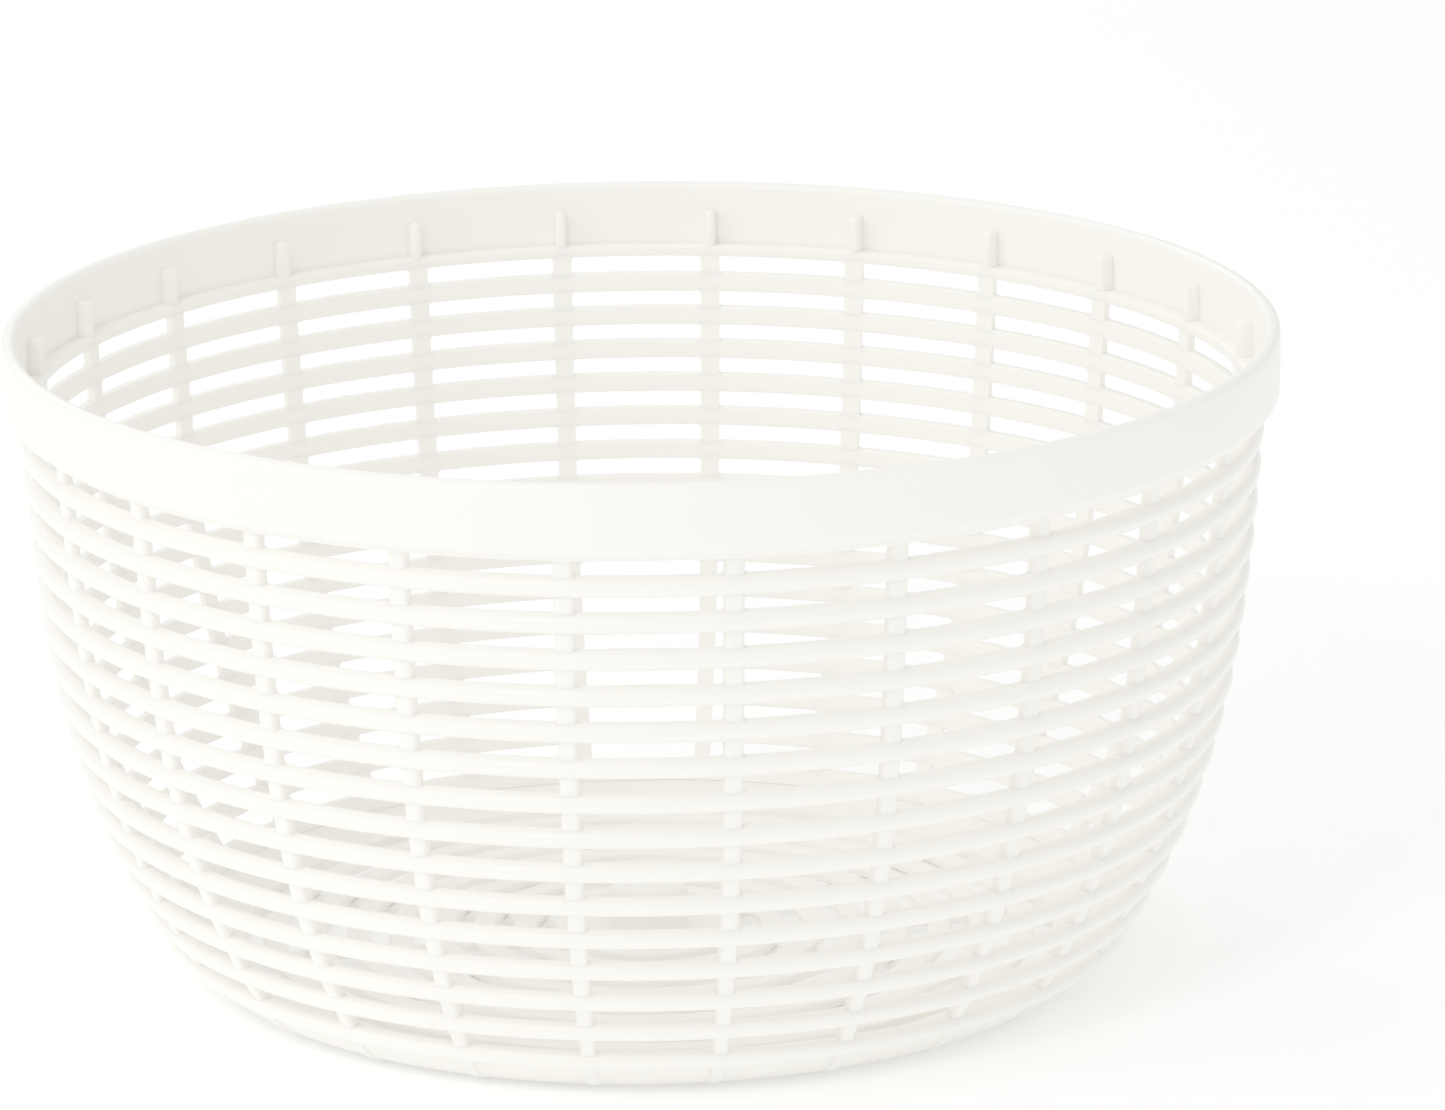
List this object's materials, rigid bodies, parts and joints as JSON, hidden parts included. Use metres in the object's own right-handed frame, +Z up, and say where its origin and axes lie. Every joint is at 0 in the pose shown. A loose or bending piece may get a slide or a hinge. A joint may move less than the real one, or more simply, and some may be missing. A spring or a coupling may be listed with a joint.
{
  "type": "salad spinner basket",
  "caption": "Round slotted straining basket with a plain rim band, inner drive lugs, a foot ring and a central pivot socket.",
  "frame": {"origin": "middle of the foot's underside, on the surface that the basket stands on", "axes": "+Z up along the basket's axis; one rib-to-rib gap is centred on each of the X and Y axes"},
  "size_m": [0.24, 0.24, 0.1236],
  "materials": {
    "cream_plastic": "warm white moulded plastic with a soft gloss, slightly translucent"
  },
  "bodies": {
    "root": {"rim_band": "cream_plastic", "rim_ledge": "cream_plastic", "drive_lugs": "cream_plastic", "hoop_01": "cream_plastic", "hoop_02": "cream_plastic", "hoop_03": "cream_plastic", "hoop_04": "cream_plastic", "hoop_05": "cream_plastic", "hoop_06": "cream_plastic", "hoop_07": "cream_plastic", "hoop_08": "cream_plastic", "hoop_09": "cream_plastic", "hoop_10": "cream_plastic", "hoop_11": "cream_plastic", "hoop_12": "cream_plastic", "hoop_13": "cream_plastic", "hoop_14": "cream_plastic", "hoop_15": "cream_plastic", "wall_ribs": "cream_plastic", "foot_ring": "cream_plastic", "floor_rings": "cream_plastic", "floor_spokes": "cream_plastic", "pivot_hub": "cream_plastic"}
  },
  "joints": []
}
